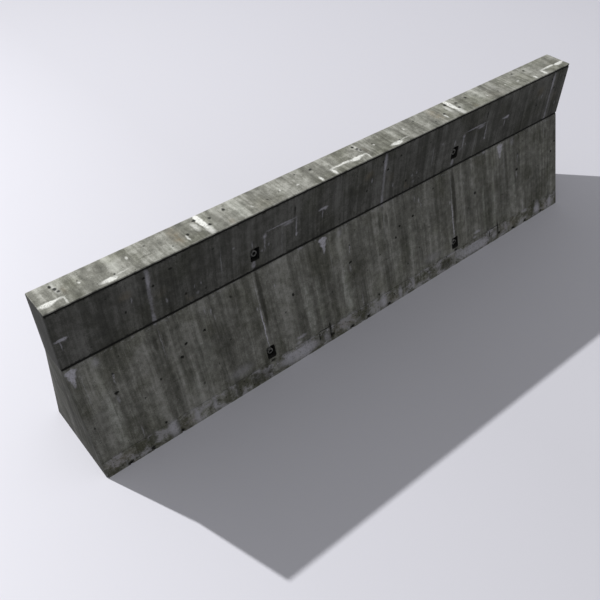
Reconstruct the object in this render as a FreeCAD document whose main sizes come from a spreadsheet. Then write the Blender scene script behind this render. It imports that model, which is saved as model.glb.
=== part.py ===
import FreeCAD, Part
import Sketcher
import math
import os

# Precast concrete safety barrier, hourglass section, with its reinforcement cage and
# four cast-in tie sleeves. Millimetres. X runs along the barrier, Y across it with the
# traffic face at -Y, Z up. The origin is the middle of the footprint, on the ground.

V = FreeCAD.Vector
doc = FreeCAD.newDocument("jersey_barrier")

# ---------------------------------------------------------------- driving dimensions
sheet = doc.addObject("Spreadsheet::Sheet", "Sizes")
SIZES = [
    # the casting
    ("barrier_length", 2967, "overall length, a 3 m module less its joint gap"),
    ("waist_height", 525, "ground to the waist, where the flank meets the neck"),
    ("neck_height", 288, "waist to the top"),
    ("base_width", 444, "width on the ground"),
    ("waist_width", 139, "width at the waist, the narrowest place"),
    ("top_width", 147, "width across the top"),
    ("edge_round", 5, "radius worn by the form on the outer long edges"),
    ("groove_radius", 7, "round bar of the form that leaves the shadow grooves"),
    ("groove_depth", 4.5, "depth of the shadow grooves"),
    ("top_groove_drop", 11, "top to the centre of the upper groove"),
    ("seam_height", 76, "ground to the toe seam"),
    ("seam_radius", 3.5, "rounding of the toe seam"),
    ("seam_depth", 2.5, "depth of the toe seam"),
    # the box-outs round the sleeve ends
    ("boxout_width", 47, "along the barrier"),
    ("boxout_corner", 9, "corner radius"),
    ("lower_boxout_height", 62, "up the face"),
    ("upper_boxout_height", 68, "up the face"),
    ("lower_boxout_depth", 30, "face to floor at the sleeve axis"),
    ("upper_boxout_depth", 25, "face to floor at the sleeve axis"),
    ("lower_sleeve_height", 122, "ground to the lower sleeve axes"),
    ("upper_sleeve_rise", 82, "waist to the upper sleeve axes"),
    ("lower_left_offset", 615, "middle to the left lower sleeve"),
    ("lower_right_offset", 610, "middle to the right lower sleeve"),
    ("upper_left_offset", 595, "middle to the left upper sleeve"),
    ("upper_right_offset", 632, "middle to the right upper sleeve"),
    # the sleeves
    ("sleeve_bore", 18, "bore diameter"),
    ("sleeve_wall", 5, "wall thickness"),
    ("sleeve_recess", 8, "face back to the sleeve's end"),
    # the cage
    ("cover", 32, "concrete outside the stirrups"),
    ("end_cover", 55, "concrete past the ends of the long bars"),
    ("stirrup_bar", 10, "stirrup and base tie diameter"),
    ("long_bar", 12, "long bar diameter"),
    ("bend_radius", 20, "stirrup bend, to the middle of the bar"),
    ("tie_gap", 1, "clearance between bars that cross"),
    ("end_stirrup_inset", 64, "end face to the first stirrup"),
    ("flank_bar_height", 320, "ground to the flank bars"),
    ("neck_bar_rise", 34, "waist to the neck bars"),
]
for row, (name, value, note) in enumerate(SIZES, start=1):
    sheet.set("A%d" % row, name)
    sheet.set("B%d" % row, str(value))
    sheet.set("C%d" % row, note)
    sheet.setAlias("B%d" % row, name)

# values that follow from the driving ones, so that every fit comes from the same sizes
DERIVED = [
    ("barrier_height", "=waist_height + neck_height"),
    ("flank_slope", "=(base_width - waist_width) / 2 / waist_height"),
    ("neck_slope", "=(top_width - waist_width) / 2 / neck_height"),
    ("flank_stretch", "=sqrt(1 + flank_slope * flank_slope)"),
    ("sleeve_outer", "=sleeve_bore + 2 * sleeve_wall"),
    # half-widths of the faces at the features they carry
    ("seam_half", "=base_width / 2 - flank_slope * seam_height"),
    ("lower_half", "=base_width / 2 - flank_slope * lower_sleeve_height"),
    ("upper_half", "=waist_width / 2 + neck_slope * upper_sleeve_rise"),
    ("top_groove_half", "=top_width / 2 - neck_slope * top_groove_drop"),
    ("lower_floor", "=lower_half - lower_boxout_depth"),
    ("upper_floor", "=upper_half - upper_boxout_depth"),
    ("lower_sleeve_half", "=lower_half - sleeve_recess"),
    ("upper_sleeve_half", "=upper_half - sleeve_recess"),
    # stirrup centre line: two straight legs a side, both at the cover from their face
    ("bar_inset", "=cover + stirrup_bar / 2"),
    ("leg_foot_height", "=bar_inset"),
    ("leg_base_half", "=base_width / 2 - bar_inset * flank_stretch"),
    ("leg_foot_half", "=leg_base_half - flank_slope * leg_foot_height"),
    ("neck_leg_zero", "=waist_width / 2 - bar_inset"),
    ("leg_knee_drop", "=(neck_leg_zero - (leg_base_half - flank_slope * waist_height)) / (flank_slope + neck_slope)"),
    ("leg_knee_height", "=waist_height - leg_knee_drop"),
    ("leg_knee_half", "=neck_leg_zero - neck_slope * leg_knee_drop"),
    ("leg_top_height", "=barrier_height - bar_inset"),
    ("leg_top_half", "=neck_leg_zero + neck_slope * (neck_height - bar_inset)"),
    # long bars, each just inside the stirrup it is tied to
    ("bar_reach", "=stirrup_bar / 2 + tie_gap + long_bar / 2"),
    ("corner_inset", "=bend_radius - (bend_radius - bar_reach) * 0.7"),
    ("top_bar_half", "=leg_top_half - corner_inset"),
    ("top_bar_height", "=leg_top_height - corner_inset"),
    ("neck_bar_height", "=waist_height + neck_bar_rise"),
    ("neck_bar_half", "=neck_leg_zero + neck_slope * neck_bar_rise - bar_reach * 1.02"),
    ("flank_bar_half", "=leg_base_half - flank_slope * flank_bar_height - bar_reach * flank_stretch"),
    ("base_tie_height", "=leg_foot_height"),
    ("base_bar_height", "=base_tie_height + bar_reach"),
    ("base_bar_half", "=leg_base_half - flank_slope * base_bar_height - bar_reach * flank_stretch"),
    ("tie_half", "=leg_foot_half"),
    ("long_bar_length", "=barrier_length - 2 * end_cover"),
    ("first_stirrup", "=end_stirrup_inset - barrier_length / 2"),
]
for row, (name, formula) in enumerate(DERIVED, start=len(SIZES) + 2):
    sheet.set("A%d" % row, name)
    sheet.set("B%d" % row, formula)
    sheet.setAlias("B%d" % row, name)
doc.recompute()

STIRRUPS = 10  # stirrups, each with its base tie beside it


def s(expression):
    """Write sheet names in an expression as Sizes.name."""
    out, word = "", ""
    names = [n for n, *_ in SIZES] + [n for n, _ in DERIVED]
    for ch in expression + " ":
        if ch.isalnum() or ch == "_":
            word += ch
        else:
            out += ("Sizes." + word if word in names else word) + ch
            word = ""
    return out.strip()


def value(name):
    got = sheet.get(name)
    return float(getattr(got, "Value", got))


# ---------------------------------------------------------------- sketch helpers
def plane_of(body, role):
    return [f for f in body.Origin.OriginFeatures if f.Role == role][0]


def new_sketch(body, name, role, offset=None):
    """A sketch on one of the body's origin planes, moved along the plane's normal by an expression."""
    sk = body.newObject("Sketcher::SketchObject", name)
    sk.AttachmentSupport = [(plane_of(body, role), "")]
    sk.MapMode = "FlatFace"
    if offset:
        sk.setExpression("AttachmentOffset.Base.z", s(offset))
    return sk


def drive(sk, constraint, expression):
    i = sk.addConstraint(constraint)
    sk.setExpression("Constraints[%d]" % i, s(expression))
    return i


def evaluate(sk, expression):
    got = sk.evalExpression(s(expression))
    return float(getattr(got, "Value", got))


def place_point(sk, geo, pos, x, y):
    """Fix a sketch point by two expressions measured from the sketch origin."""
    for kind, expression in (("DistanceX", x), ("DistanceY", y)):
        v = evaluate(sk, expression)
        if abs(v) < 1e-9:
            sk.addConstraint(Sketcher.Constraint("PointOnObject", geo, pos, -2 if kind == "DistanceX" else -1))
        elif v > 0:
            drive(sk, Sketcher.Constraint(kind, -1, 1, geo, pos, v), expression)
        else:
            drive(sk, Sketcher.Constraint(kind, geo, pos, -1, 1, -v), "-(" + expression + ")")


def circle(sk, x, y, radius):
    at = V(evaluate(sk, x), evaluate(sk, y), 0)
    g = sk.addGeometry(Part.Circle(at, V(0, 0, 1), evaluate(sk, radius)), False)
    drive(sk, Sketcher.Constraint("Radius", g, evaluate(sk, radius)), radius)
    place_point(sk, g, 3, x, y)
    return g


def polygon(sk, points):
    """A closed outline through points given as pairs of expressions."""
    at = [V(evaluate(sk, x), evaluate(sk, y), 0) for x, y in points]
    n = len(at)
    geo = [sk.addGeometry(Part.LineSegment(at[i], at[(i + 1) % n]), False) for i in range(n)]
    for i in range(n):
        sk.addConstraint(Sketcher.Constraint("Coincident", geo[i], 2, geo[(i + 1) % n], 1))
    for g, (x, y) in zip(geo, points):
        place_point(sk, g, 1, x, y)


def rounded_rectangle(sk, x, y, width, height, radius):
    """A rectangle with round corners, centred on (x, y); every argument is an expression."""
    cx, cy = evaluate(sk, x), evaluate(sk, y)
    w, h, r = (evaluate(sk, e) for e in (width, height, radius))
    x0, x1, y0, y1 = cx - w / 2, cx + w / 2, cy - h / 2, cy + h / 2
    lines = [
        sk.addGeometry(Part.LineSegment(V(a, b, 0), V(c, d, 0)), False)
        for a, b, c, d in (
            (x0 + r, y0, x1 - r, y0),
            (x1, y0 + r, x1, y1 - r),
            (x1 - r, y1, x0 + r, y1),
            (x0, y1 - r, x0, y0 + r),
        )
    ]
    arcs = []
    for k, (ax, ay) in enumerate(((x1 - r, y0 + r), (x1 - r, y1 - r), (x0 + r, y1 - r), (x0 + r, y0 + r))):
        start = -math.pi / 2 + k * math.pi / 2
        arc = Part.ArcOfCircle(Part.Circle(V(ax, ay, 0), V(0, 0, 1), r), start, start + math.pi / 2)
        arcs.append(sk.addGeometry(arc, False))
    for k in range(4):
        sk.addConstraint(Sketcher.Constraint("Tangent", lines[k], 2, arcs[k], 1))
        sk.addConstraint(Sketcher.Constraint("Tangent", arcs[k], 2, lines[(k + 1) % 4], 1))
    sk.addConstraint(Sketcher.Constraint("Horizontal", lines[0]))
    sk.addConstraint(Sketcher.Constraint("Vertical", lines[1]))
    sk.addConstraint(Sketcher.Constraint("Horizontal", lines[2]))
    sk.addConstraint(Sketcher.Constraint("Vertical", lines[3]))
    for k in range(1, 4):
        sk.addConstraint(Sketcher.Constraint("Equal", arcs[0], arcs[k]))
    drive(sk, Sketcher.Constraint("Radius", arcs[0], r), radius)
    # the corner circles' centres carry the outline's size and place
    place_point(sk, arcs[3], 3, "%s - %s / 2 + %s" % (x, width, radius), "%s - %s / 2 + %s" % (y, height, radius))
    place_point(sk, arcs[1], 3, "%s + %s / 2 - %s" % (x, width, radius), "%s + %s / 2 - %s" % (y, height, radius))


def pocket(body, sk, name, outward=False, both=False):
    """A cut right through on one side of the sketch, or on both."""
    cut = body.newObject("PartDesign::Pocket", name)
    cut.Profile = sk
    cut.Type = "ThroughAll"
    if both:
        cut.SideType = "Two sides"
        cut.Type2 = "ThroughAll"
    cut.Reversed = outward
    body.Tip = cut
    return cut


# ---------------------------------------------------------------- the casting
casting = doc.addObject("PartDesign::Body", "barrier_casting")
section = new_sketch(casting, "end_section", "YZ_Plane")
polygon(
    section,
    [
        ("-(base_width / 2)", "0 * base_width"),
        ("base_width / 2", "0 * base_width"),
        ("waist_width / 2", "waist_height"),
        ("top_width / 2", "barrier_height"),
        ("-(top_width / 2)", "barrier_height"),
        ("-(waist_width / 2)", "waist_height"),
    ],
)
run = casting.newObject("PartDesign::Pad", "casting_run")
run.Profile = section
run.SideType = "Symmetric"
run.setExpression("Length", s("barrier_length"))
casting.Tip = run
doc.recompute()

# round the top's long edges and the four long lines of the ends
L, H = value("barrier_length"), value("barrier_height")
edges = []
for i, e in enumerate(run.Shape.Edges, start=1):
    box = e.BoundBox
    top_edge = box.ZMin > H - 1e-3
    upright = box.XLength < 1e-3 and box.ZLength > 1e-3
    if top_edge or upright:
        edges.append("Edge%d" % i)
rounding = casting.newObject("PartDesign::Fillet", "edge_rounding")
rounding.Base = (run, edges)
rounding.setExpression("Radius", s("edge_round"))
casting.Tip = rounding
doc.recompute()

# shadow grooves under the top edges and round the waist, and the toe seam
grooves = new_sketch(casting, "groove_section", "YZ_Plane")
for side in ("", "-"):
    circle(grooves, side + "(top_groove_half + groove_radius - groove_depth)",
           "barrier_height - top_groove_drop", "groove_radius")
    circle(grooves, side + "(waist_width / 2 + groove_radius - groove_depth)",
           "waist_height", "groove_radius")
    circle(grooves, side + "(seam_half + (seam_radius - seam_depth) * flank_stretch)",
           "seam_height", "seam_radius")
pocket(casting, grooves, "long_grooves", both=True)
doc.recompute()

# box-outs round the sleeve ends, from their floors out through the face
SLEEVES = [
    ("lower_sleeve_left", "-lower_left_offset", "lower_sleeve_height", "lower"),
    ("lower_sleeve_right", "lower_right_offset", "lower_sleeve_height", "lower"),
    ("upper_sleeve_left", "-upper_left_offset", "waist_height + upper_sleeve_rise", "upper"),
    ("upper_sleeve_right", "upper_right_offset", "waist_height + upper_sleeve_rise", "upper"),
]
for level in ("lower", "upper"):
    for face, sign in (("front", ""), ("back", "-")):
        sk = new_sketch(casting, "%s_boxouts_%s" % (level, face), "XZ_Plane", "%s%s_floor" % (sign, level))
        for name, x, z, which in SLEEVES:
            if which == level:
                rounded_rectangle(sk, x, z, "boxout_width", level + "_boxout_height", "boxout_corner")
        pocket(casting, sk, "%s_boxout_cut_%s" % (level, face), outward=(face == "front"))
        doc.recompute()

# the holes that the sleeves fill
bores = new_sketch(casting, "sleeve_holes", "XZ_Plane")
for name, x, z, which in SLEEVES:
    circle(bores, x, z, "sleeve_outer / 2")
pocket(casting, bores, "sleeve_hole_cut", both=True)
doc.recompute()

# ---------------------------------------------------------------- sleeves
pieces = []
for name, x, z, which in SLEEVES:
    body = doc.addObject("PartDesign::Body", name)
    ring = new_sketch(body, name + "_section", "XZ_Plane")
    circle(ring, x, z, "sleeve_outer / 2")
    circle(ring, x, z, "sleeve_bore / 2")
    tube = body.newObject("PartDesign::Pad", name + "_tube")
    tube.Profile = ring
    tube.SideType = "Symmetric"
    tube.setExpression("Length", s("2 * %s_sleeve_half" % which))
    body.Tip = tube
    pieces.append(body)

# ---------------------------------------------------------------- long bars
LONG_BARS = [
    ("top_bar_front", "-top_bar_half", "top_bar_height"),
    ("top_bar_back", "top_bar_half", "top_bar_height"),
    ("neck_bar_front", "-neck_bar_half", "neck_bar_height"),
    ("neck_bar_back", "neck_bar_half", "neck_bar_height"),
    ("flank_bar_front", "-flank_bar_half", "flank_bar_height"),
    ("flank_bar_back", "flank_bar_half", "flank_bar_height"),
    ("base_bar_front", "-base_bar_half", "base_bar_height"),
    ("base_bar_back", "base_bar_half", "base_bar_height"),
    ("base_bar_centre", "0 * base_bar_half", "base_bar_height"),
]
cage = []
for name, y, z in LONG_BARS:
    bar = doc.addObject("Part::Cylinder", name)
    bar.setExpression("Radius", s("long_bar / 2"))
    bar.setExpression("Height", s("long_bar_length"))
    bar.Placement = FreeCAD.Placement(V(0, 0, 0), FreeCAD.Rotation(V(0, 1, 0), 90))
    bar.setExpression("Placement.Base.x", s("-long_bar_length / 2"))
    bar.setExpression("Placement.Base.y", s(y))
    bar.setExpression("Placement.Base.z", s(z))
    cage.append(bar)

# ---------------------------------------------------------------- stirrups
# one bent bar: up the back flank, over the top and down the front flank
CORNERS = [
    ("leg_foot_half", "leg_foot_height"),
    ("leg_knee_half", "leg_knee_height"),
    ("leg_top_half", "leg_top_height"),
    ("-leg_top_half", "leg_top_height"),
    ("-leg_knee_half", "leg_knee_height"),
    ("-leg_foot_half", "leg_foot_height"),
]


def bent_path(sk, corners, radius):
    """Straight runs through the corner points, joined by tangent bends of one radius."""
    at = [V(evaluate(sk, x), evaluate(sk, y), 0) for x, y in corners]
    r = evaluate(sk, radius)
    last = len(at) - 1
    starts, ends, arcs = [at[0]], [], []
    for i in range(1, last):
        a, b = (at[i - 1] - at[i]), (at[i + 1] - at[i])
        a.normalize()
        b.normalize()
        half = math.acos(max(-1, min(1, a.dot(b)))) / 2
        run_off = r / math.tan(half)
        p, q = at[i] + a * run_off, at[i] + b * run_off
        mid = a + b
        mid.normalize()
        centre = at[i] + mid * (r / math.sin(half))
        left = (at[i] - at[i - 1]).cross(at[i + 1] - at[i]).z > 0
        ends.append(p)
        starts.append(q)
        arcs.append((centre, p, q, left))
    ends.append(at[-1])
    lines = [sk.addGeometry(Part.LineSegment(a, b), False) for a, b in zip(starts, ends)]
    bends = []
    for centre, p, q, left in arcs:
        first, second = (p, q) if left else (q, p)
        a0 = math.atan2(first.y - centre.y, first.x - centre.x)
        a1 = math.atan2(second.y - centre.y, second.x - centre.x)
        if a1 < a0:
            a1 += 2 * math.pi
        bends.append((sk.addGeometry(Part.ArcOfCircle(Part.Circle(centre, V(0, 0, 1), r), a0, a1), False), left))
    for i, (arc, left) in enumerate(bends):
        near, far = (1, 2) if left else (2, 1)
        sk.addConstraint(Sketcher.Constraint("Tangent", lines[i], 2, arc, near))
        sk.addConstraint(Sketcher.Constraint("Tangent", arc, far, lines[i + 1], 1))
        drive(sk, Sketcher.Constraint("Radius", arc, r), radius)
        corner = sk.addGeometry(Part.Point(at[i + 1]), True)
        sk.addConstraint(Sketcher.Constraint("PointOnObject", corner, 1, lines[i]))
        sk.addConstraint(Sketcher.Constraint("PointOnObject", corner, 1, lines[i + 1]))
        place_point(sk, corner, 1, *corners[i + 1])
    place_point(sk, lines[0], 1, *corners[0])
    place_point(sk, lines[-1], 2, *corners[-1])


for n in range(STIRRUPS):
    station = "first_stirrup + %d * (barrier_length - 2 * end_stirrup_inset) / %d" % (n, STIRRUPS - 1)

    body = doc.addObject("PartDesign::Body", "stirrup_%02d" % (n + 1))
    path = new_sketch(body, "stirrup_path_%02d" % (n + 1), "YZ_Plane", station)
    bent_path(path, CORNERS, "bend_radius")
    doc.recompute()
    round_bar = body.newObject("Sketcher::SketchObject", "stirrup_bar_%02d" % (n + 1))
    round_bar.AttachmentSupport = [(path, "Edge1")]
    round_bar.MapMode = "NormalToEdge"
    round_bar.MapPathParameter = 0
    circle(round_bar, "0 * stirrup_bar", "0 * stirrup_bar", "stirrup_bar / 2")
    sweep = body.newObject("PartDesign::AdditivePipe", "stirrup_sweep_%02d" % (n + 1))
    sweep.Profile = round_bar
    sweep.Spine = path
    body.Tip = sweep
    cage.append(body)

    # the base tie lies beside the stirrup's feet and closes the cage under the base bars
    tie = doc.addObject("Part::Cylinder", "base_tie_%02d" % (n + 1))
    side = "+" if n < STIRRUPS / 2 else "-"
    tie.setExpression("Radius", s("stirrup_bar / 2"))
    tie.setExpression("Height", s("2 * tie_half"))
    tie.Placement = FreeCAD.Placement(V(0, 0, 0), FreeCAD.Rotation(V(1, 0, 0), -90))
    tie.setExpression("Placement.Base.x", s("%s %s (stirrup_bar + tie_gap)" % (station, side)))
    tie.setExpression("Placement.Base.y", s("-tie_half"))
    tie.setExpression("Placement.Base.z", s("base_tie_height"))
    cage.append(tie)
doc.recompute()

# ---------------------------------------------------------------- the concrete, cast round its cage
steel = doc.addObject("Part::MultiFuse", "cage_envelope")
steel.Shapes = cage
doc.recompute()
concrete = doc.addObject("Part::Cut", "concrete_body")
concrete.Base = casting
concrete.Tool = steel
doc.recompute()
pieces = [concrete] + pieces + cage

# ---------------------------------------------------------------- checks and files
for obj in doc.Objects:
    if "Invalid" in obj.State or "Error" in obj.State:
        raise RuntimeError("%s did not compute: %s" % (obj.Name, obj.State))
    if hasattr(obj, "FullyConstrained") and not obj.FullyConstrained:
        raise RuntimeError("%s is not fully constrained" % obj.Name)
for obj in pieces:
    if obj.Shape.isNull() or not obj.Shape.isValid() or len(obj.Shape.Solids) != 1:
        raise RuntimeError("%s is not one valid solid" % obj.Name)

os.makedirs("parts", exist_ok=True)
for obj in pieces:
    obj.Label = obj.Name
    obj.Shape.exportStep("parts/%s.step" % obj.Label)
print("%d pieces written" % len(pieces))
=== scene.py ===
import math
import random

import bmesh
import bpy
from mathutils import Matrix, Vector, noise


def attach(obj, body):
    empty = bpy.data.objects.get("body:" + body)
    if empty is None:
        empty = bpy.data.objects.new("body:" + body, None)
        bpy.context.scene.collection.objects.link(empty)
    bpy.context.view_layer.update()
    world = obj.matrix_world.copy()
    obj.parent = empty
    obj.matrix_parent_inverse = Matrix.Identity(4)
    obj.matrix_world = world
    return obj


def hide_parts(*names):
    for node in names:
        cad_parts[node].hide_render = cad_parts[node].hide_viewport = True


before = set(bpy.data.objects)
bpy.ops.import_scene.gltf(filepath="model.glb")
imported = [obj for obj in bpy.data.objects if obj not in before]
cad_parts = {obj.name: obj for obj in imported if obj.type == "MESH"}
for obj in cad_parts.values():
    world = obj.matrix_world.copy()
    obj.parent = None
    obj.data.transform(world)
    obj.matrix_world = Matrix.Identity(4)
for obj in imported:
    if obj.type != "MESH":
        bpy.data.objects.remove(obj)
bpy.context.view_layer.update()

# ---------------------------------------------------------------------------
# The yard floor, the lamp, the sky and the camera.
# A pale lavender-grey slab carries the shadow; its colour is painted darker to the right, a
# painted falloff of the lamp's light. One small lamp stands behind the barrier's left end, and an
# even sky fills the shade.

scene = bpy.context.scene
scene.view_settings.view_transform = "Standard"

FLOOR_SIZE = 120
FADE_FROM, FADE_TO = -2.2, 3.4

bpy.ops.object.select_all(action="DESELECT")
bpy.ops.mesh.primitive_plane_add(size=FLOOR_SIZE, location=(0, 0, 0))
floor = bpy.context.object
floor.name = "yard_floor"

floor_paint = bpy.data.materials.new("yard_floor_paint")
floor_paint.use_nodes = True
slab = floor_paint.node_tree
shade = slab.nodes["Principled BSDF"]
shade.inputs["Roughness"].default_value = 0.9
shade.inputs["Specular IOR Level"].default_value = 0.1
where = slab.nodes.new("ShaderNodeTexCoord")
along = slab.nodes.new("ShaderNodeSeparateXYZ")
slab.links.new(where.outputs["Object"], along.inputs[0])
# painted light: the floor's colour fades to the right as a painted falloff of the lamp's light
painted_falloff = slab.nodes.new("ShaderNodeMapRange")
painted_falloff.inputs["From Min"].default_value = FADE_FROM
painted_falloff.inputs["From Max"].default_value = FADE_TO
slab.links.new(along.outputs["X"], painted_falloff.inputs["Value"])
tone = slab.nodes.new("ShaderNodeValToRGB")
tone.color_ramp.elements[0].color = (0.740, 0.740, 0.798, 1)
tone.color_ramp.elements[1].color = (0.665, 0.665, 0.724, 1)
for place, pale in ((0.2, 0.655), (0.4, 0.612)):
    tone.color_ramp.elements.new(place).color = (pale, pale, pale * 1.083, 1)
slab.links.new(painted_falloff.outputs["Result"], tone.inputs["Fac"])


def looked_at(tree):
    """1 where the surface is looked at, plainly or in gloss or glass, and 0 for stray light."""
    path = tree.nodes.new("ShaderNodeLightPath")
    seen = path.outputs["Is Camera Ray"]
    for other in ("Is Glossy Ray", "Is Transmission Ray"):
        either = tree.nodes.new("ShaderNodeMath")
        either.operation = "MAXIMUM"
        tree.links.new(seen, either.inputs[0])
        tree.links.new(path.outputs[other], either.inputs[1])
        seen = either.outputs[0]
    return seen


# the floor is pale where it is looked at, and throws little light back up at the barrier
choose = slab.nodes.new("ShaderNodeMix")
choose.data_type = "RGBA"
choose.inputs["A"].default_value = (0.20, 0.20, 0.215, 1)
slab.links.new(looked_at(slab), choose.inputs["Factor"])
slab.links.new(tone.outputs["Color"], choose.inputs["B"])
slab.links.new(choose.outputs["Result"], shade.inputs["Base Color"])
floor.data.materials.append(floor_paint)

# the lamp's light reaches evenly, so that its shadow spreads but nothing fades with distance
lamp_data = bpy.data.lights.new("yard_lamp", "POINT")
lamp_data.energy = 43.0
lamp_data.color = (1.0, 0.995, 0.985)
lamp_data.shadow_soft_size = 0.035
lamp_data.use_nodes = True
glow = lamp_data.node_tree
even = glow.nodes.new("ShaderNodeLightFalloff")
even.inputs["Strength"].default_value = 1.0
glow.links.new(even.outputs["Constant"], glow.nodes["Emission"].inputs["Strength"])
lamp = bpy.data.objects.new("yard_lamp", lamp_data)
lamp.location = (-2.517, 3.232, 3.646)
scene.collection.objects.link(lamp)

world = bpy.data.worlds.new("even_sky")
scene.world = world
world.use_nodes = True
sky = world.node_tree
sky_fill = sky.nodes["Background"]
sky_fill.inputs["Color"].default_value = (0.985, 0.985, 1.0, 1)
sky_fill.inputs["Strength"].default_value = 0.40
sky_seen = sky.nodes.new("ShaderNodeBackground")
sky_seen.inputs["Color"].default_value = (0.92, 0.92, 0.96, 1)
sky_seen.inputs["Strength"].default_value = 1.0
pick = sky.nodes.new("ShaderNodeMixShader")
sky.links.new(looked_at(sky), pick.inputs["Fac"])
sky.links.new(sky_fill.outputs["Background"], pick.inputs[1])
sky.links.new(sky_seen.outputs["Background"], pick.inputs[2])
sky.links.new(pick.outputs["Shader"], sky.nodes["World Output"].inputs["Surface"])

CAMERA_PLACE = (-1.9143, -1.9664, 2.5378)
AZIMUTH, ELEVATION = math.radians(-39.448), math.radians(43.563)
cam_data = bpy.data.cameras.new("camera")
cam_data.lens = 43.456
cam_data.sensor_width = 36.0
cam = bpy.data.objects.new("camera", cam_data)
cam.location = CAMERA_PLACE
cam_back = Vector((math.sin(AZIMUTH) * math.cos(ELEVATION),
                   -math.cos(AZIMUTH) * math.cos(ELEVATION),
                   math.sin(ELEVATION)))
cam.rotation_mode = "QUATERNION"
cam.rotation_quaternion = (-cam_back).to_track_quat("-Z", "Y")
scene.collection.objects.link(cam)
scene.camera = cam

# ---------------------------------------------------------------------------
# The casting.
# One piece of precast concrete, poured upside down in a steel form. The form's round bars
# groove it under each top edge and along the waist, and its toe lip leaves a seam.

LENGTH, HEIGHT = 2.967, 0.813
BASE, WAIST, TOP = 0.444, 0.139, 0.147
WAIST_UP = 0.525
SEAM_UP = 0.076
EDGE_ROUND = 0.005
FLANK = (BASE - WAIST) / 2 / WAIST_UP
NECK = (TOP - WAIST) / 2 / (HEIGHT - WAIST_UP)
SLEEVE_X = {"lower_sleeve_left": -0.615, "lower_sleeve_right": 0.610,
            "upper_sleeve_left": -0.595, "upper_sleeve_right": 0.632}
LOWER_UP, UPPER_UP = 0.122, 0.607


def face_half(z):
    """Half the casting's thickness at a height."""
    if z <= WAIST_UP:
        return BASE / 2 - FLANK * z
    return WAIST / 2 + NECK * (z - WAIST_UP)


def take(obj):
    """Select one object and nothing else."""
    bpy.ops.object.select_all(action="DESELECT")
    obj.select_set(True)
    bpy.context.view_layer.objects.active = obj


def edit(obj):
    """Open one object's mesh for editing by its points."""
    take(obj)
    bpy.ops.object.mode_set(mode="EDIT")
    bpy.ops.mesh.select_mode(type="VERT")


def pick_edges(obj, test):
    """Select the edges that pass a test on their place."""
    bpy.ops.mesh.select_mode(type="EDGE")
    bm = bmesh.from_edit_mesh(obj.data)
    for e in bm.edges:
        e.select = test(e)
    bm.select_flush_mode()
    bmesh.update_edit_mesh(obj.data)


def apply_place(obj):
    """Move an object's place and size into its mesh."""
    take(obj)
    bpy.ops.object.transform_apply(location=True, rotation=True, scale=True)


def slice_at(co, no):
    """Score a line right round the casting, without cutting it in two."""
    bpy.ops.mesh.select_all(action="SELECT")
    bpy.ops.mesh.bisect(plane_co=co, plane_no=no, use_fill=False,
                        clear_inner=False, clear_outer=False)


# a block the size of the casting, waisted by moving its slices in
bpy.ops.object.select_all(action="DESELECT")
bpy.ops.mesh.primitive_cube_add(size=1, location=(0, 0, HEIGHT / 2))
casting = bpy.context.object
casting.name = "cast_concrete"
casting.scale = (LENGTH, BASE, HEIGHT)
apply_place(casting)
edit(casting)
slice_at((0, 0, WAIST_UP), (0, 0, 1))
bm = bmesh.from_edit_mesh(casting.data)
for v in bm.verts:
    v.co.y = math.copysign(face_half(v.co.z), v.co.y)
bmesh.update_edit_mesh(casting.data)

# round the edges of the top and the upright edges of the ends
pick_edges(casting, lambda e: min(v.co.z for v in e.verts) > HEIGHT - 0.001
           or (abs(e.verts[0].co.x - e.verts[1].co.x) < 1e-4
               and abs(e.verts[0].co.z - e.verts[1].co.z) > 0.01))
bpy.ops.mesh.bevel(offset=EDGE_ROUND, offset_type="OFFSET", segments=3, profile=0.5,
                   affect="EDGES")

# score the faces into panes, so that the form's slight waviness can be worked in
PANES, ROWS = int(LENGTH / 0.045), 20
ROW_FROM, ROW_STEP = 0.038, 0.0375
CLEAR_OF_EDGE, CLEAR_OF_WAIST = 0.012, 0.01
WAVE = 0.0009
for i in range(1, PANES):
    slice_at((-LENGTH / 2 + i * LENGTH / PANES, 0, 0), (1, 0, 0))
for i in range(ROWS):
    z = ROW_FROM + ROW_STEP * i
    if abs(z - WAIST_UP) > CLEAR_OF_EDGE:
        slice_at((0, 0, z), (0, 0, 1))
bpy.ops.mesh.select_all(action="DESELECT")
bm = bmesh.from_edit_mesh(casting.data)
for v in bm.verts:
    x, y, z = v.co
    inside = min(LENGTH / 2 - abs(x), HEIGHT - z, z) > CLEAR_OF_EDGE
    if inside and abs(z - WAIST_UP) > CLEAR_OF_WAIST:
        swell = 1 + noise.noise(Vector((x * 3.1, y * 9, z * 4.3)))
        v.co.y -= math.copysign(WAVE * swell, y)
bmesh.update_edit_mesh(casting.data)
bpy.ops.object.mode_set(mode="OBJECT")


def rod(radius, length, location, axis, sides):
    """A round cutter along X or Y."""
    turn = (0, math.pi / 2, 0) if axis == "X" else (math.pi / 2, 0, 0)
    bpy.ops.object.select_all(action="DESELECT")
    bpy.ops.mesh.primitive_cylinder_add(vertices=sides, radius=radius, depth=length,
                                        location=location, rotation=turn)
    bar = bpy.context.object
    apply_place(bar)
    return bar


def join(parts, name):
    """Make one cutter of many."""
    take(parts[0])
    for p in parts:
        p.select_set(True)
    bpy.ops.object.join()
    parts[0].name = name
    return parts[0]


def cut(body, cutter):
    """Take one shape out of another for good."""
    taken = body.modifiers.new("cut", "BOOLEAN")
    taken.operation, taken.solver, taken.use_self = "DIFFERENCE", "EXACT", True
    taken.object = cutter
    take(body)
    bpy.ops.object.modifier_apply(modifier=taken.name)
    bpy.data.objects.remove(cutter)


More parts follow.
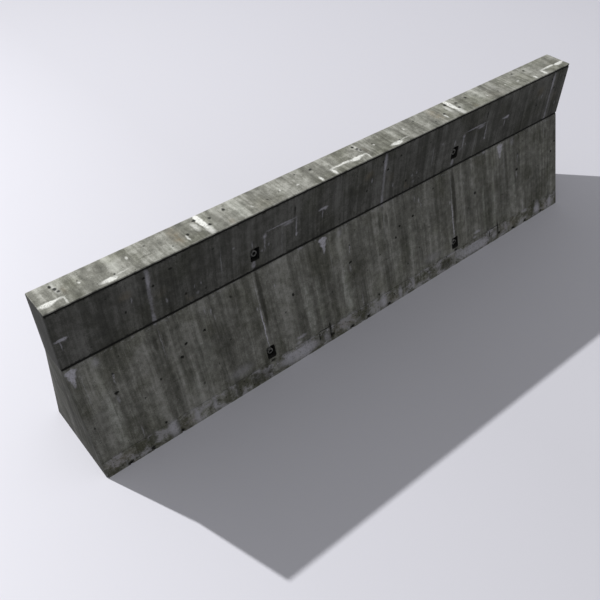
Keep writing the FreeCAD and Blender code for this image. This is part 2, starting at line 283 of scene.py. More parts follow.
# the round bars of the form leave the grooves, and its toe lip leaves the seam
TOP_GROOVE_UP = HEIGHT - 0.011
GROOVE_RADIUS, GROOVE_DEPTH = 0.007, 0.0045
SEAM_RADIUS, SEAM_DEPTH = 0.0035, 0.0025
SLOPE = 1.0413      # length down the flank for each unit of height
OVERRUN = 0.1       # how much longer a cutter is than what it cuts
grooves = []
for side in (-1, 1):
    for up, radius, depth, stretch in (
        (TOP_GROOVE_UP, GROOVE_RADIUS, GROOVE_DEPTH, 1.0),
        (WAIST_UP, GROOVE_RADIUS, GROOVE_DEPTH, 1.0),
        (SEAM_UP, SEAM_RADIUS, SEAM_DEPTH, SLOPE),
    ):
        y = side * (face_half(up) + (radius - depth) * stretch)
        grooves.append(rod(radius, LENGTH + OVERRUN, (0, y, up), "X", 24))
cut(casting, join(grooves, "groove_bars"))

# a box-out round each end of each sleeve, with round corners and its floor upright
BOXOUT = {"lower": (0.047, 0.062, 0.030, LOWER_UP), "upper": (0.047, 0.068, 0.025, UPPER_UP)}
BOXOUT_CORNER = 0.009
BOXOUT_FORM = 0.08      # thickness of the block that leaves a box-out
SLEEVE_HOLE = 0.01405
boxouts, holes = [], []
for name, x in SLEEVE_X.items():
    wide, tall, deep, up = BOXOUT[name.split("_")[0]]
    middle = face_half(up) - deep + BOXOUT_FORM / 2
    for side in (-1, 1):
        bpy.ops.object.select_all(action="DESELECT")
        bpy.ops.mesh.primitive_cube_add(size=1, location=(x, side * middle, up))
        box = bpy.context.object
        box.scale = (wide, BOXOUT_FORM, tall)
        apply_place(box)
        edit(box)
        pick_edges(box, lambda e: abs(e.verts[0].co.y - e.verts[1].co.y) > BOXOUT_FORM / 2)
        bpy.ops.mesh.bevel(offset=BOXOUT_CORNER, offset_type="OFFSET", segments=5,
                           profile=0.5, affect="EDGES")
        bpy.ops.object.mode_set(mode="OBJECT")
        boxouts.append(box)
    holes.append(rod(SLEEVE_HOLE, BASE + OVERRUN, (x, 0, up), "Y", 40))
cut(casting, join(boxouts, "boxout_forms"))
cut(casting, join(holes, "sleeve_forms"))

lumps = []


def stone(place, size, seed, squash, detail=2):
    """Lay down a lump, to take a chip or a blow-hole out of an edge or a face."""
    bpy.ops.object.select_all(action="DESELECT")
    bpy.ops.mesh.primitive_ico_sphere_add(subdivisions=detail, radius=size, location=(0, 0, 0))
    lump = bpy.context.object
    turned = Vector((seed * 3.7, seed * 1.3, seed))
    for v in lump.data.vertices:
        push = 0.75 + 0.5 * noise.noise(v.co / size * 1.7 + turned)
        v.co = Vector([co * s * push + p for co, s, p in zip(v.co, squash, place)])
    lumps.append(lump)


# chips along the edges: long shallow ones at the foot, small nicks on top
FOOT_CHIPS, TOP_NICKS, END_CHIPS = 24, 26, 5
FOOT_CHIP_SIZES = (0.003, 0.004, 0.005, 0.007, 0.010)
CORNER_OFF, CORNER_STAND = 0.017, 0.004
SPALLS = 7
rng = random.Random(41)
for side in (-1, 1):
    for i in range(FOOT_CHIPS):
        x = -LENGTH / 2 + LENGTH * (i + rng.uniform(0.1, 0.9)) / FOOT_CHIPS
        size = rng.choice(FOOT_CHIP_SIZES)
        stone((x, side * (BASE / 2 + size * 0.35), rng.uniform(-0.003, 0.004)), size,
              i + 50 * side, (rng.uniform(1.2, 2.6), 1, rng.uniform(0.8, 1.3)))
    for i in range(TOP_NICKS):
        x = -LENGTH / 2 + LENGTH * (i + rng.uniform(0.1, 0.9)) / TOP_NICKS
        size = rng.uniform(0.0035, 0.0075)
        stone((x, side * (TOP / 2 + size * 0.3), HEIGHT + size * 0.25), size,
              i + 90 * side, (rng.uniform(1.0, 2.2), 1, 1))
    for end in (-1, 1):
        for i in range(END_CHIPS):
            z = 0.03 + 0.75 * (i + rng.uniform(0.1, 0.9)) / END_CHIPS
            size = rng.uniform(0.005, 0.010)
            stone((end * (LENGTH / 2 + size * 0.35), side * (face_half(z) + size * 0.35), z),
                  size, i + 7 * end + 13 * side, (1, 1, rng.uniform(1.0, 2.4)))
        # the foot's corners are knocked off
        stone((end * (LENGTH / 2 + CORNER_STAND), side * (BASE / 2 + CORNER_STAND), 0.002),
              CORNER_OFF, 5 * end + side, (1, 1, 1.2))

    # the corners of each box-out have spalled where the form was pulled
    for name, x in SLEEVE_X.items():
        wide, tall, _, up = BOXOUT[name.split("_")[0]]
        for i in range(SPALLS):
            turn = rng.uniform(0, 2 * math.pi)
            across = x + math.copysign(wide / 2, math.cos(turn)) * rng.uniform(0.5, 1.0)
            z = up + math.copysign(tall / 2, math.sin(turn)) * rng.uniform(0.6, 1.0)
            size = rng.uniform(0.003, 0.006)
            stone((across, side * (face_half(z) + size * 0.2), z), size, i + 31 * side,
                  (1.2, 1, 1.2))

# the tall break across the toe on the traffic face, the short crack beside it, and the
# bites out of the foot's edge
stone((-0.2745, -0.2135, 0.040), 0.008, 71, (1, 1, 4.2))
stone((-0.3420, -0.2085, 0.056), 0.003, 72, (1, 1.6, 5.0))
FOOT_BITES = (-1.3715, -1.2645, -1.1205, -0.1435, -0.0365, 0.1075, 1.0845, 1.1915)
for x in FOOT_BITES:
    stone((x, -0.2235, 0.007), 0.011, x * 17, (1.4, 1, 1))

# blow-holes left by trapped air: large ones that repeat along the traffic face, given in
# millimetres as (along, down), and small ones anywhere
FORM_REPEAT = 1228
FLANK_HOLES = ((159, 203), (493, 158), (461, 208), (587, 144), (170, 128), (306, 452))
NECK_HOLES = ((382, 50), (417, 107), (496, 64), (290, 167), (549, 223))
SMALL_HOLES, TOP_HOLES = 110, 26
for spots, size, start, stretch in ((FLANK_HOLES, 0.0048, WAIST_UP, SLOPE),
                                    (NECK_HOLES, 0.0044, HEIGHT, 1.0)):
    for turn in range(3):
        for along, down in spots:
            x = -LENGTH / 2 + (along + FORM_REPEAT * turn) / 1000
            z = start - down / 1000 / stretch
            if x <= LENGTH / 2 - 0.02:
                stone((x, -face_half(z), z), size, turn + along, (1, 0.8, 1.1))
for i in range(SMALL_HOLES):
    side = rng.choice((-1, 1))
    x, z = rng.uniform(-1.45, 1.45), rng.uniform(0.09, 0.79)
    if z <= 0.785 and min(abs(z - up) for up in (WAIST_UP, LOWER_UP, UPPER_UP)) >= 0.02:
        stone((x, side * face_half(z), z), rng.uniform(0.0018, 0.0036), i, (1, 0.8, 1), 1)
for i in range(TOP_HOLES):
    stone((rng.uniform(-1.45, 1.45), rng.uniform(-0.055, 0.055), HEIGHT),
          rng.uniform(0.002, 0.004), i + 7, (1, 1, 0.7), 1)
cut(casting, join(lumps, "broken_lumps"))

# The concrete's colour. Grey-olive cement, streaked down the faces by rain, with lime runs,
# whitewash splashes and rust spots. The top is painted lighter and the neck and the ends darker,
# as painted light and shade; the grooves and box-outs hold painted shade with dirt, and the
# blow-holes painted shade.
# Places on its faces are in millimetres.
surface = bpy.data.materials.new("weathered_concrete")
surface.use_nodes = True
recipe = surface.node_tree      # the finish being mixed: the helpers below add to it
concrete = recipe.nodes["Principled BSDF"]
concrete.inputs["Specular IOR Level"].default_value = 0.22


def put(socket, value):
    """Feed a socket from another node, or set its number or colour."""
    if isinstance(value, bpy.types.NodeSocket):
        socket.node.id_data.links.new(value, socket)
    elif value is not None:
        socket.default_value = value


def calc(operation, a, b=None, c=None, clamp=False):
    n = recipe.nodes.new("ShaderNodeMath")
    n.operation, n.use_clamp = operation, clamp
    for socket, value in zip(n.inputs, (a, b, c)):
        put(socket, value)
    return n.outputs[0]


def times(a, b, clamp=False):
    return calc("MULTIPLY", a, b, clamp=clamp)


def less(a, b):
    return calc("SUBTRACT", a, b)


def vec(operation, a, b=None, c=None):
    n = recipe.nodes.new("ShaderNodeVectorMath")
    n.operation = operation
    for socket, value in zip(n.inputs, (a, b, c)):
        put(socket, value)
    return n.outputs["Value" if operation == "LENGTH" else "Vector"]


def step(value, low, high, to_low=0.0, to_high=1.0):
    """Ease from one level to another as a value goes from low to high."""
    n = recipe.nodes.new("ShaderNodeMapRange")
    n.interpolation_type = "SMOOTHSTEP"
    put(n.inputs["Value"], value)
    put(n.inputs["From Min"], low)
    put(n.inputs["From Max"], high)
    put(n.inputs["To Min"], to_low)
    put(n.inputs["To Max"], to_high)
    return n.outputs["Result"]


def cloud(where, scale, detail=3.0, rough=0.55, colour=False):
    """Soft random mottling."""
    n = recipe.nodes.new("ShaderNodeTexNoise")
    put(n.inputs["Vector"], where)
    n.inputs["Scale"].default_value = scale
    n.inputs["Detail"].default_value = detail
    n.inputs["Roughness"].default_value = rough
    return n.outputs["Color" if colour else "Fac"]


def stretched(by, detail, rough):
    """Mottling drawn out or squeezed along each axis."""
    return cloud(vec("MULTIPLY", coords, by), 1.0, detail, rough)


def blend(factor, a, b, kind="MIX"):
    n = recipe.nodes.new("ShaderNodeMix")
    n.data_type, n.blend_type = "RGBA", kind
    put(n.inputs["Factor"], factor)
    put(n.inputs["A"], a)
    put(n.inputs["B"], b)
    return n.outputs["Result"]


def tint(factor, colour, by):
    """Lighten or darken a colour where the factor says."""
    return blend(factor, colour, blend(1.0, colour, (*by, 1), "MULTIPLY"))


def paint(r, g, b):
    """A colour as it is seen, for a socket that takes light values."""
    light = []
    for v in (r / 255, g / 255, b / 255):
        light.append(v / 12.92 if v <= 0.04045 else ((v + 0.055) / 1.055) ** 2.4)
    return (*light, 1)


HALF_LONG = 1483.5
TOP_REPEAT, BACK_SHIFT = 1442.0, 500.0
coords = recipe.nodes.new("ShaderNodeTexCoord").outputs["Object"]
mm = vec("MULTIPLY", coords, (1000, 1000, 1000))
split = recipe.nodes.new("ShaderNodeSeparateXYZ")
put(split.inputs[0], mm)
px, py, pz = split.outputs
on_top = step(pz, 808.5, 812.0)
on_end = step(calc("ABSOLUTE", px), HALF_LONG - 3.5, HALF_LONG - 0.5)
on_back = calc("GREATER_THAN", py, 0.0)
on_neck = step(pz, 521.0, 529.0)
neck_only = times(on_neck, less(1.0, on_top))
side_only = less(1.0, calc("MAXIMUM", on_top, on_end))
half_flank = calc("MULTIPLY_ADD", pz, -FLANK, BASE * 500)
half_neck = calc("MULTIPLY_ADD", pz, NECK, WAIST * 500 - NECK * WAIST_UP * 1000)
sunk = less(calc("MAXIMUM", half_flank, half_neck), calc("ABSOLUTE", py))
# how deep a side is sunk, for the painted shade and dirt in its grooves, box-outs and holes
recess_shade_and_dirt = times(step(sunk, 1.6, 4.0), side_only)

# the splashes and runs repeat along the barrier, as the form's own faults do
ragged = vec("MULTIPLY_ADD", cloud(coords, 62, 3.0, 0.65, colour=True),
             (15, 15, 15), (-7.5, -7.5, -7.5))
from_end = calc("ADD", px, HALF_LONG)
shifted = calc("MULTIPLY_ADD", on_back, BACK_SHIFT, from_end)
side_along = calc("FLOORED_MODULO", shifted, FORM_REPEAT)
top_along = calc("FLOORED_MODULO", from_end, TOP_REPEAT)


def flat(a, b):
    """A place on one face, with a ragged edge to whatever is drawn there."""
    n = recipe.nodes.new("ShaderNodeCombineXYZ")
    put(n.inputs[0], a)
    put(n.inputs[1], b)
    return vec("ADD", n.outputs[0], vec("MULTIPLY", ragged, (1, 1, 0)))


side_place, top_place = flat(side_along, pz), flat(top_along, py)


def gather(place, marks):
    """Add up soft-edged patches, each given as along, across, half-width, half-height,
    softness and strength."""
    total = 0.0
    for along, across, half_w, half_h, soft, strength in marks:
        off = vec("MULTIPLY_ADD", place, (1 / half_w, 1 / half_h, 0),
                  (-along / half_w, -across / half_h, 0))
        patch = step(vec("LENGTH", off), 1.0 - soft, 1.0 + soft * 0.6, strength, 0.0)
        total = calc("ADD", total, patch)
    return total


def flank(*marks):
    """Marks on the flank, placed by how far they are down the slope from the waist."""
    return [(u, 525 - v / SLOPE, w, h / SLOPE, s, k) for u, v, w, h, s, k in marks]


def neck(*marks):
    """Marks on the neck, placed by how far they are below the top."""
    return [(u, 813 - v, w, h, s, k) for u, v, w, h, s, k in marks]


def crown(*marks):
    """Marks on the top face, placed by how far they are from its back edge."""
    return [(u, 73.5 - v, w, h, s, k) for u, v, w, h, s, k in marks]


side_white = gather(side_place, flank(
    (27, 24, 25, 12, .35, 1), (26, 42, 18, 20, .4, .9), (25, 66, 8, 26, .5, .8),
    (126, 35, 16, 18, .9, .35), (170, 128, 4, 14, .6, .6), (168, 152, 3, 12, .8, .4),
    (156, 232, 6, 18, .9, .35), (202, 430, 3, 28, .8, .4), (55, 130, 2, 110, .8, .3),
    (397, 100, 2, 70, .8, .4), (636, 80, 5, 14, .8, .5), (610, 62, 4, 16, .8, .35),
    (648, 112, 3, 14, .8, .35), (864, 290, 3.5, 112, .4, 1), (866, 120, 2, 110, .8, .3),
    (1128, 10, 12, 7, .9, .5), (330, 505, 23, 44, .8, .7), (446, 515, 14, 36, .8, .65),
    (540, 502, 11, 34, .8, .55), (1012, 512, 118, 30, .5, .75), (1042, 432, 28, 8, .8, .7),
    (1022, 455, 14, 8, .8, .5), (1180, 512, 20, 26, .8, .4), (700, 428, 62, 26, .9, .28),
    (961, 117, 3, 9, .7, .5), (851, 181, 5, 8, .8, .45), (1010, 488, 60, 5, .8, .4)
) + neck(
    (31, 144, 26, 7, .6, .85), (46, 146, 10, 11, .6, .6), (28, 172, 3, 22, .7, .55),
    (398, 60, 11, 50, .5, .5), (396, 150, 8, 120, .6, .42), (397, 268, 10, 32, .5, .45),
    (321, 126, 4, 14, .7, .5), (462, 210, 4, 12, .7, .5), (590, 210, 3, 9, .7, .5),
    (621, 208, 3, 8, .7, .5), (602, 251, 7, 9, .9, .35), (721, 165, 3, 60, .8, .35),
    (876, 150, 4, 20, .8, .6), (879, 258, 11, 20, .6, .6), (942, 134, 10, 12, .7, .65),
    (940, 170, 4, 38, .7, .6), (926, 203, 6, 7, .8, .45), (1030, 117, 82, 4, .6, .65),
    (1066, 128, 26, 8, .8, .65), (1110, 165, 4, 48, .6, .6), (1112, 209, 6, 9, .7, .8),
    (960, 187, 4, 8, .7, .5), (786, 119, 6, 5, .7, .5), (1032, 200, 2, 90, .9, .3)
))
side_pale = gather(side_place, flank(
    (121, 330, 28, 128, .25, .6), (116, 110, 16, 90, .9, .3), (1116, 320, 21, 150, .25, .65),
    (1184, 320, 15, 165, .25, .6), (559, 255, 40, 98, .5, .45), (443, 230, 5, 70, .8, .3),
    (480, 330, 70, 90, .9, .2), (950, 505, 80, 30, .9, .3)
) + neck(
    (537, 140, 26, 150, .8, .35), (700, 150, 40, 150, .9, .2), (1160, 150, 60, 150, .9, .15)
))
side_dark = gather(side_place, flank(
    (369, 88, 11, 42, .5, .6), (413, 88, 9, 42, .5, .6), (395, 372, 30, 92, .8, .35),
    (884, 140, 14, 150, .45, .85), (880, 330, 9, 110, .9, .4), (745, 150, 60, 115, .9, .3),
    (1151, 300, 9, 155, .6, .4), (1252, 250, 48, 190, .7, .35), (24, 260, 26, 190, .8, .3),
    (68, 300, 22, 100, .9, .35), (796, 510, 56, 32, .5, .5), (1209, 490, 9, 46, .5, .8),
    (1142, 490, 4, 20, .5, .9), (1174, 466, 34, 3, .6, .8), (112, 537, 15, 9, .6, .8),
    (219, 533, 11, 7, .6, .7), (363, 535, 11, 9, .6, .7), (868, 462, 14, 9, .8, .6),
    (160, 203, 6, 6, .5, .9), (493, 158, 6, 6, .5, .9), (461, 208, 5, 6, .5, .9),
    (587, 144, 6, 6, .5, .9), (306, 455, 6, 8, .6, .8), (400, 293, 34, 3, .9, .4)
) + neck(
    (382, 50, 6, 6, .5, .9), (417, 107, 6, 6, .5, .8), (496, 64, 7, 8, .6, .6),
    (290, 167, 6, 8, .7, .5), (549, 223, 5, 9, .7, .6), (1101, 85, 5, 25, .8, .4),
    (888, 262, 10, 24, .8, .4), (650, 90, 50, 80, .9, .15)
))
side_rust = gather(side_place, flank(
    (395, 520, 60, 25, .9, .25), (70, 500, 70, 30, .9, .35)
) + neck(
    (300, 92, 26, 24, .9, .5), (549, 240, 8, 20, .9, .5), (565, 262, 14, 10, .9, .35),
    (440, 160, 24, 30, .9, .25)
))
# painted shade for the blow-holes, the foot's chips and the toe's break, placed where the cut
# ones are, and for some holes that are only painted
side_hole_shade = gather(side_place, flank(
    (160, 203, 11, 6, .4, 1), (493, 158, 8, 6, .4, 1), (461, 208, 7, 8, .4, 1),
    (587, 144, 8, 6, .4, 1), (170, 118, 5, 6, .5, .9), (306, 455, 6, 6, .5, .9),
    (112, 537, 13, 7, .5, 1), (219, 533, 9, 6, .5, 1), (363, 535, 9, 6, .5, 1),
    (868, 462, 12, 7, .6, .9), (1210, 470, 4, 24, .4, 1), (1142, 490, 3.5, 20, .4, 1),
    (1174, 466, 34, 3, .4, .9), (1222, 515, 12, 8, .5, 1), (1044, 205, 7, 9, .4, 1),
    (30, 300, 5, 5, .5, .8), (258, 292, 5, 5, .5, .8), (690, 250, 5, 5, .5, .8),
    (742, 60, 6, 5, .5, .8), (985, 268, 5, 5, .5, .8), (520, 380, 5, 6, .5, .8),
    (345, 250, 5, 5, .5, .8), (215, 60, 4, 4, .5, .8), (610, 330, 4, 5, .5, .8)
) + neck(
    (382, 50, 7, 6, .4, 1), (417, 107, 6, 6, .4, 1), (496, 64, 7, 6, .5, .9),
    (290, 167, 6, 6, .5, .9), (549, 223, 6, 8, .5, .9), (225, 60, 4, 4, .5, .8),
    (690, 70, 5, 4, .5, .8), (1101, 75, 5, 20, .5, .8), (640, 250, 5, 5, .5, .8),
    (130, 250, 5, 4, .5, .8)
))
top_white = gather(top_place, crown(
    (1339, 121, 10, 24, .6, 1), (1410, 98, 72, 7, .6, .9), (48, 103, 50, 8, .6, 1),
    (34, 109, 26, 11, .6, 1), (97, 125, 4, 22, .7, .7), (92, 45, 8, 35, .9, .5),
    (262, 127, 36, 11, .5, 1), (274, 133, 18, 10, .5, 1), (320, 118, 30, 4, .9, .5),
    (172, 71, 5, 6, .6, .8), (371, 60, 4, 9, .7, .7), (611, 106, 5, 18, .7, .8),
    (703, 45, 14, 54, .3, 1), (706, 112, 15, 40, .7, .75), (669, 66, 12, 32, .7, .6),
    (918, 97, 5, 9, .7, .6), (1074, 82, 6, 6, .8, .6), (1156, 97, 9, 6, .8, .6),
    (1261, 127, 7, 16, .6, .95)
))
top_pale = gather(top_place, crown(
    (868, 75, 38, 85, .8, .5), (730, 105, 30, 50, .8, .35), (1075, 70, 4, 75, .8, .4),
    (1093, 60, 3, 70, .8, .35), (310, 60, 20, 80, .9, .3), (520, 120, 90, 20, .9, .25)
))
top_dark = gather(top_place, crown(
    (82, 28, 6, 7, .6, .8), (90, 52, 6, 8, .6, .8), (94, 66, 5, 6, .6, .7),
    (112, 92, 9, 40, .8, .4), (261, 50, 28, 42, .9, .3), (432, 95, 50, 3, .7, .5),
    (621, 87, 7, 7, .6, .8), (684, 30, 8, 8, .6, .9), (723, 90, 7, 7, .6, .8),
    (817, 43, 7, 9, .7, .7), (1267, 46, 8, 8, .8, .6), (742, 52, 6, 8, .7, .6),
    (292, 113, 4, 5, .6, .7), (1000, 60, 60, 60, .9, .2)
))
top_rust = gather(top_place, crown(
    (580, 70, 26, 66, .8, .8), (577, 72, 10, 22, .8, .5), (114, 80, 10, 24, .9, .6),
    (802, 124, 14, 20, .9, .6), (960, 110, 80, 40, .9, .2)
))
# painted shade for blow-holes on the top, holes that are only painted
top_hole_shade = gather(top_place, crown(
    (82, 28, 7, 7, .5, 1), (90, 50, 8, 8, .5, 1), (96, 68, 6, 6, .5, .9),
    (621, 87, 8, 7, .5, .9), (684, 30, 9, 7, .5, 1), (723, 88, 8, 7, .5, 1),
    (742, 52, 7, 8, .5, .9), (817, 43, 7, 8, .5, .9), (1267, 44, 8, 7, .5, .9),
    (292, 113, 5, 5, .5, .9), (171, 60, 4, 4, .5, .8), (455, 40, 5, 5, .5, .8),
    (995, 100, 5, 5, .5, .8), (1190, 30, 6, 5, .5, .9), (540, 110, 4, 5, .5, .8)
))


def by_face(top_value, side_value):
    """One value on the top, another on the sides, and little of either on the ends."""
    kept = times(side_value, step(on_end, 0.2, 0.8, 1.0, 0.0))
    return calc("ADD", times(top_value, on_top), times(kept, less(1.0, on_top)), clamp=True)


white, pale = by_face(top_white, side_white), by_face(top_pale, side_pale)
dark, rust = by_face(top_dark, side_dark), by_face(top_rust, side_rust)
hole = by_face(top_hole_shade, side_hole_shade)

# rain streaks: stretched down the faces, across the top, and down the ends
end_coords = vec("MULTIPLY", coords, (2.4, 74, 2.2))
side_coords = vec("MULTIPLY", coords, (74, 5, 2.2))
streak_at = blend(on_end, side_coords, end_coords)
bent = vec("MULTIPLY_ADD", cloud(coords, 9, 2.0, 0.5, colour=True), (1.6, 0.04, 0.04), streak_at)
fine_streak = cloud(bent, 1.0, 5.0, 0.68)
broad_streak = cloud(vec("MULTIPLY", streak_at, (0.26, 0.26, 0.5)), 1.0, 3.0, 0.5)
drift = cloud(coords, 4.5, 4.0, 0.6)
sand = cloud(coords, 210, 4.0, 0.7)
mottle = cloud(coords, 36, 4.0, 0.6)
level = 0.0
for pattern, share in ((fine_streak, 0.62), (broad_streak, 0.75), (drift, 0.55),
                       (sand, 0.60), (mottle, 0.55)):
    level = calc("MULTIPLY_ADD", pattern, share, level)
shades = recipe.nodes.new("ShaderNodeValToRGB")
shades.color_ramp.elements[0].color = paint(70, 70, 65)
shades.color_ramp.elements[1].color = paint(164, 164, 159)
shades.color_ramp.elements.new(0.5).color = paint(116, 116, 110)
put(shades.inputs["Fac"], step(level, 1.08, 1.98))
algae = step(cloud(coords, 7.0, 2.0), 0.45, 0.7, 0.0, 0.45)
colour = blend(algae, shades.outputs["Color"], paint(104, 106, 84), "SOFT_LIGHT")
# painted light and shade: the top is painted lighter, and the neck and the ends darker, for how
# the light falls on each face
colour = tint(on_top, colour, (1.38, 1.385, 1.36))
colour = tint(neck_only, colour, (0.53, 0.53, 0.54))
colour = tint(on_end, colour, (0.52, 0.52, 0.53))

# the toe band below the seam is worn in patches
toe = times(step(pz, 84.0, 70.0), less(1.0, on_end))
broken = step(cloud(coords, 130, 5.0, 0.75), 0.36, 0.52, 0.45, 1.0)
toe_patch = stretched((17, 17, 24), 5.0, 0.7)
worn = times(step(toe_patch, 0.49, 0.60, 0.0, 0.75), broken)
spots = stretched((70, 70, 90), 3.0, 0.6)
colour = blend(times(toe, worn), colour, paint(172, 171, 176))
colour = blend(times(toe, step(toe_patch, 0.47, 0.40, 0.0, 0.65)), colour, paint(70, 70, 54))
colour = blend(times(toe, step(spots, 0.62, 0.68, 0.0, 0.85)), colour, paint(22, 21, 18))

# then the patches, rust, dark runs and stains with painted shade in and round the blow-holes and
# breaks, and lime and whitewash
colour = tint(pale, colour, (1.5, 1.53, 1.54))
colour = blend(times(rust, step(mottle, 0.4, 0.62, 0.2, 0.6)), colour, paint(122, 108, 82))
# dark stains, and painted shade round the blow-holes, the foot's chips and the toe's break
colour = blend(times(dark, 0.85), colour, paint(38, 37, 30))
# the lime is painted lighter on the top than on the sides: lit and shaded copies of one white,
# painted light and shade
lime = blend(on_top, paint(192, 191, 200), paint(242, 243, 238))
quiet = calc("MULTIPLY_ADD", neck_only, -0.15, 1.0)
colour = blend(times(times(white, broken), quiet, clamp=True), colour, lime)

# specks: dark pits and pale grains
pits = recipe.nodes.new("ShaderNodeTexVoronoi")
put(pits.inputs["Vector"], coords)
pits.inputs["Scale"].default_value = 75
pit = times(step(pits.outputs["Distance"], 0.17, 0.09), step(mottle, 0.52, 0.60))
colour = blend(times(pit, 0.75), colour, paint(40, 39, 33))
grains = recipe.nodes.new("ShaderNodeTexVoronoi")
put(grains.inputs["Vector"], coords)
grains.inputs["Scale"].default_value = 120
grain = times(step(grains.outputs["Distance"], 0.20, 0.10), step(drift, 0.50, 0.62))
colour = blend(times(grain, 0.45), colour, paint(176, 176, 166))

# painted shade and dirt darken the grooves under the top and at the waist, running out in a
# ragged edge, and lime flecks sit just under the waist
ragged_line = stretched((64, 64, 130), 4.0, 0.75)
below_top = calc("MULTIPLY_ADD", ragged_line, 44.0, less(784.0, pz))
under_top = times(step(below_top, 10.0, 4.0), step(pz, 811.0, 808.0))
above_waist = calc("MULTIPLY_ADD", ragged_line, 40.0, less(pz, 548.0))
over_waist = times(step(above_waist, 7.0, 2.0), step(pz, 519.0, 523.0))
groove_shade_and_dirt = times(calc("MAXIMUM", under_top, over_waist), side_only, clamp=True)
colour = blend(times(groove_shade_and_dirt, 0.9), colour, paint(24, 24, 20))
fleck_band = times(step(pz, 498.0, 514.0), step(pz, 521.0, 517.0))
fleck = times(times(fleck_band, side_only), step(stretched((60, 60, 110), 4.0, 0.75), 0.53, 0.64))
colour = blend(times(fleck, 0.55), colour, paint(168, 168, 172))
# painted shade: near-black in the blow-holes, chips and toe break, and black spots standing in
# for more holes
colour = blend(times(hole, 0.92), colour, paint(20, 20, 17))

# worn arrises are paler, with a painted highlight, and whatever is sunk into the sides, the
# grooves, box-outs and deeper holes, is painted near-black, painted shade with dirt
# the top arrises painted paler: wear, and a painted highlight along the edge
arris_wear_and_highlight = times(step(pz, 805.0, 810.0), step(calc("ABSOLUTE", py), 66.5, 71.5))
colour = blend(times(arris_wear_and_highlight, step(mottle, 0.40, 0.58, 0.1, 0.7)), colour, paint(176, 176, 168))
colour = blend(times(recess_shade_and_dirt, 0.95), colour, paint(15, 15, 13))
put(concrete.inputs["Base Color"], colour)
put(concrete.inputs["Roughness"], step(mottle, 0.3, 0.7, 0.82, 0.95))


def roughen(shader, distance, strength, height):
    """Give a finish its fine relief."""
    bump = recipe.nodes.new("ShaderNodeBump")
    bump.inputs["Distance"].default_value = distance
    bump.inputs["Strength"].default_value = strength
    put(bump.inputs["Height"], height)
    put(shader.inputs["Normal"], bump.outputs["Normal"])


roughen(concrete, 0.001, 0.8,
        calc("ADD", calc("MULTIPLY_ADD", sand, 0.7, times(mottle, 0.9)),
             calc("MULTIPLY_ADD", fine_streak, 0.35, times(pit, -1.4))))

casting.data.materials.clear()
casting.data.materials.append(surface)
for poly in casting.data.polygons:
    poly.material_index = 0
take(casting)
bpy.ops.object.shade_smooth_by_angle(angle=math.radians(28))

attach(casting, "root")
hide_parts("concrete_body")

# ---------------------------------------------------------------------------
# The four sleeves.
# Plastic tubes set in the form before the pour, so that a tie rod or a lifting pin can
# pass right through. Their saw-cut ends stand in the box-outs and have gone dark with dirt; their
# bores are painted near-black, painted shade.

SLEEVE_OUTSIDE, SLEEVE_BORE = 0.014, 0.009
SLEEVE_RECESS = 0.008
RIM_EASE, SAW_WANDER = 0.0006, 0.0004

sleeve_plastic = bpy.data.materials.new("dirty_sleeve_plastic")
sleeve_plastic.use_nodes = True
recipe = sleeve_plastic.node_tree
tube_shader = recipe.nodes["Principled BSDF"]
tube_shader.inputs["Specular IOR Level"].default_value = 0.3
coords = recipe.nodes.new("ShaderNodeTexCoord").outputs["Object"]
grime = cloud(coords, 160, 4.0, 0.7)
drawn = stretched((600, 12, 600), 2.0, 0.5)
tube_colour = blend(step(grime, 0.42, 0.62), paint(98, 98, 95), paint(136, 136, 133))
tube_colour = blend(step(drawn, 0.55, 0.75, 0.0, 0.4), tube_colour, paint(48, 46, 42))
put(tube_shader.inputs["Base Color"], tube_colour)
put(tube_shader.inputs["Roughness"], step(grime, 0.3, 0.7, 0.5, 0.8))
roughen(tube_shader, 0.0002, 0.6, drawn)

# the bores are painted near-black: painted shade inside the tubes
bore_painted_shade = bpy.data.materials.new("black_bore_painted_shade")
bore_painted_shade.use_nodes = True
recipe = bore_painted_shade.node_tree
bore_shader = recipe.nodes["Principled BSDF"]
bore_shader.inputs["Roughness"].default_value = 0.95
coords = recipe.nodes.new("ShaderNodeTexCoord").outputs["Object"]
bore_blotch = step(cloud(coords, 210, 3.0, 0.6), 0.4, 0.6)
put(bore_shader.inputs["Base Color"], blend(bore_blotch, paint(6, 6, 6), paint(14, 13, 12)))


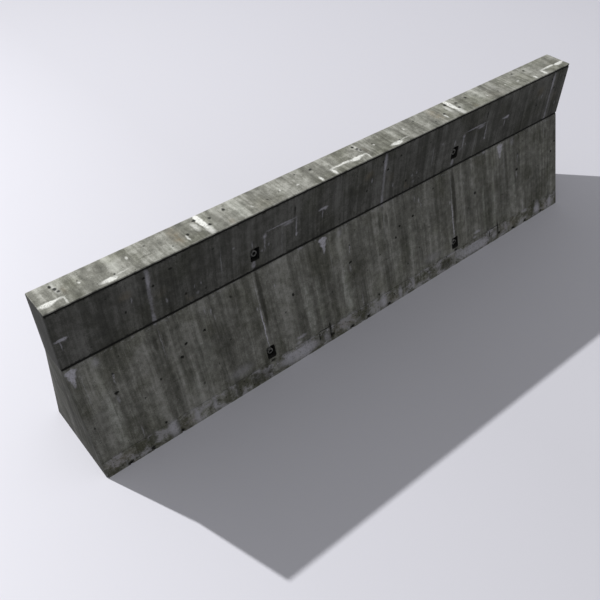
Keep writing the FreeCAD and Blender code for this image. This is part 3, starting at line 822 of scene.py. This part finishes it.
def tube(name, up):
    """One sleeve, drawn as a thin shell, given its wall, and its cut ends eased."""
    long = 2 * (face_half(up) - SLEEVE_RECESS)
    bpy.ops.object.select_all(action="DESELECT")
    bpy.ops.mesh.primitive_cylinder_add(vertices=56, radius=SLEEVE_OUTSIDE, depth=long,
                                        end_fill_type="NOTHING",
                                        location=(SLEEVE_X[name], 0, up),
                                        rotation=(math.pi / 2, 0, 0))
    shell = bpy.context.object
    shell.name = name + "_tube"
    apply_place(shell)
    wall = shell.modifiers.new("wall", "SOLIDIFY")
    wall.thickness = SLEEVE_OUTSIDE - SLEEVE_BORE
    wall.offset = -1.0
    bpy.ops.object.modifier_apply(modifier=wall.name)
    eased = shell.modifiers.new("eased", "BEVEL")
    eased.width, eased.segments = RIM_EASE, 2
    eased.limit_method, eased.angle_limit = "ANGLE", math.radians(60)
    bpy.ops.object.modifier_apply(modifier=eased.name)
    # the saw leaves the cut a little out of true
    for v in shell.data.vertices:
        if abs(v.co.y) > long / 2 - 0.002:
            off = 1 + noise.noise(Vector((v.co.x * 90, v.co.z * 90, up * 7)))
            v.co.y -= math.copysign(SAW_WANDER * off, v.co.y)
    bpy.ops.object.shade_smooth_by_angle(angle=math.radians(35))
    shell.data.materials.append(sleeve_plastic)
    shell.data.materials.append(bore_painted_shade)
    for face in shell.data.polygons:
        from_axis = math.hypot(face.center.x - SLEEVE_X[name], face.center.z - up)
        face.material_index = 1 if from_axis < SLEEVE_BORE + 0.0003 else 0
    return shell


def beside(first, name):
    """A copy of a sleeve at another sleeve's place, with a mesh of its own."""
    take(first)
    bpy.ops.object.duplicate(linked=False)
    twin = bpy.context.object
    twin.name = name + "_tube"
    twin.location.x = SLEEVE_X[name] - SLEEVE_X[first.name.replace("_tube", "")]
    apply_place(twin)
    return twin


lower_left, upper_left = tube("lower_sleeve_left", LOWER_UP), tube("upper_sleeve_left", UPPER_UP)
lower_right = beside(lower_left, "lower_sleeve_right")
upper_right = beside(upper_left, "upper_sleeve_right")
for piece in (lower_left, lower_right, upper_left, upper_right):
    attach(piece, "root")
    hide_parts(piece.name.replace("_tube", ""))

# ---------------------------------------------------------------------------
# The steel cage.
# Hot-rolled bars, bent cold into stirrups and ties round nine long bars, and cast in. They
# keep their blue-grey mill scale with a bloom of rust, and no concrete face shows them.

bar_steel = bpy.data.materials.new("rusted_bar_steel")
bar_steel.use_nodes = True
recipe = bar_steel.node_tree
bar_shader = recipe.nodes["Principled BSDF"]
coords = recipe.nodes.new("ShaderNodeTexCoord").outputs["Object"]
bloom = cloud(coords, 42, 5.0, 0.65)
crust = cloud(coords, 420, 4.0, 0.7)
rusted = step(bloom, 0.42, 0.60)
bar_colour = blend(rusted, paint(78, 80, 84), paint(126, 74, 44))
bar_colour = blend(step(crust, 0.52, 0.68, 0.0, 0.7), bar_colour, paint(72, 40, 26))
put(bar_shader.inputs["Base Color"], bar_colour)
put(bar_shader.inputs["Metallic"], step(rusted, 0.0, 1.0, 0.55, 0.05))
put(bar_shader.inputs["Roughness"], step(rusted, 0.0, 1.0, 0.55, 0.92))
roughen(bar_shader, 0.0004, 0.7, calc("ADD", crust, rusted))
for name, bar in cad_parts.items():
    if name.split("_")[0] in ("top", "neck", "flank", "base", "stirrup"):
        bar.data.materials.clear()
        bar.data.materials.append(bar_steel)
